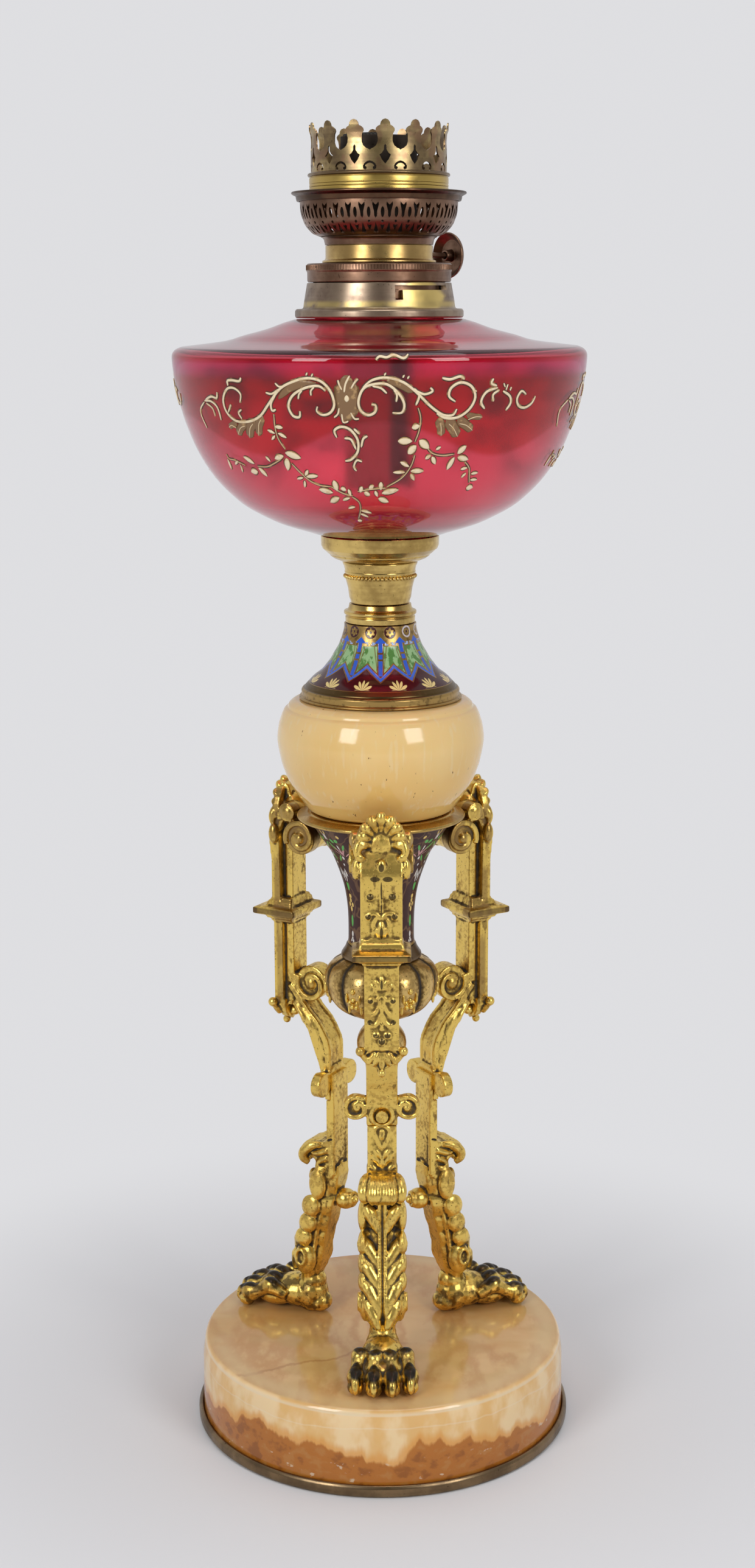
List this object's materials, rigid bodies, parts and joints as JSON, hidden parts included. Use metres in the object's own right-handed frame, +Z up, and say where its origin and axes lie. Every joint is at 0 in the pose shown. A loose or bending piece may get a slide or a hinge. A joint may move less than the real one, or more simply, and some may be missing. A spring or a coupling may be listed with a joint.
{
  "type": "kerosene table lamp",
  "caption": "Kerosene table lamp: onyx foot, gilt lion-paw legs, enamel and onyx column, ruby glass font and a round-wick burner with a wick winder.",
  "frame": {"origin": "middle of the underside of the foot, on the lamp's axis", "axes": "+Z up along the lamp's axis; the front leg points to -Y; the wick winder's knob is at +X and +Y"},
  "size_m": [0.1884, 0.1884, 0.6203],
  "materials": {
    "onyx_foot": "polished, veined cream and rust",
    "onyx_bulb": "polished, honey coloured",
    "gilt": "gilt, dark in the recesses",
    "bronze": "dark patina",
    "dark_brass": "brown patina",
    "bright_brass": "worn bright, stained",
    "sooty_brass": "sooty",
    "steel": "plain",
    "trumpet_enamel": "enamelled, flowers on maroon",
    "cone_enamel": "enamelled, blue, green, maroon and yellow",
    "ruby_glass": "clear ruby with enamelled scrolls",
    "cotton": "woven"
  },
  "bodies": {
    "lamp": {"base_plate": "bronze", "onyx_base": "onyx_foot", "base_screw_front": "steel", "base_screw_right": "steel", "base_screw_left": "steel", "base_washer_front": "steel", "base_washer_right": "steel", "base_washer_left": "steel", "leg_front": "gilt", "leg_right": "gilt", "leg_left": "gilt", "bracket_front": "gilt", "bracket_right": "gilt", "bracket_left": "gilt", "bracket_screw_front": "dark_brass", "bracket_screw_right": "dark_brass", "bracket_screw_left": "dark_brass", "dish_screw_front": "steel", "dish_screw_right": "steel", "dish_screw_left": "steel", "finial": "gilt", "gadrooned_knop": "gilt", "knop_collar": "bronze", "enamel_trumpet": "trumpet_enamel", "dish_ring": "bronze", "onyx_vase": "onyx_bulb", "enamel_cone": "cone_enamel", "spool": "gilt", "beaded_socket": "gilt", "font_cup": "gilt", "tie_rod": "steel", "tie_washer": "steel", "tie_nut": "steel", "glass_font": "ruby_glass", "font_collar": "dark_brass"},
    "burner": {"bayonet_cap": "dark_brass", "burner_body": "bright_brass", "outer_wick_tube": "sooty_brass", "draft_tube": "sooty_brass", "winder_bracket": "dark_brass"},
    "winder": {"winder_spindle": "dark_brass", "winder_wheel_near": "dark_brass", "winder_wheel_far": "dark_brass", "winder_knob": "dark_brass"},
    "wick": {"wick": "cotton"},
    "gallery": {"air_basket": "dark_brass", "shade_ring": "dark_brass", "crown": "bright_brass"}
  },
  "joints": [
    {"name": "burner_turn", "type": "hinge", "parent": "lamp", "child": "burner", "pos_m": [0, 0, 0.545], "axis": [0, 0, 1], "range_deg": [0, 47]},
    {"name": "winder_turn", "type": "hinge", "parent": "burner", "child": "winder", "pos_m": [-0.0117, 0.01497, 0.5638], "axis": [-0.788, -0.6157, 0], "range_deg": [-256, 171]},
    {"name": "wick_travel", "type": "slide", "parent": "burner", "child": "wick", "axis": [0, 0, 1], "range_m": [-0.012, 0.008]},
    {"name": "gallery_lift", "type": "slide", "parent": "burner", "child": "gallery", "axis": [0, 0, 1], "range_m": [0, 0.045]}
  ],
  "couplings": [
    {"joint": "winder_turn", "follows": "wick_travel", "rad_per_m": 370.37}
  ]
}
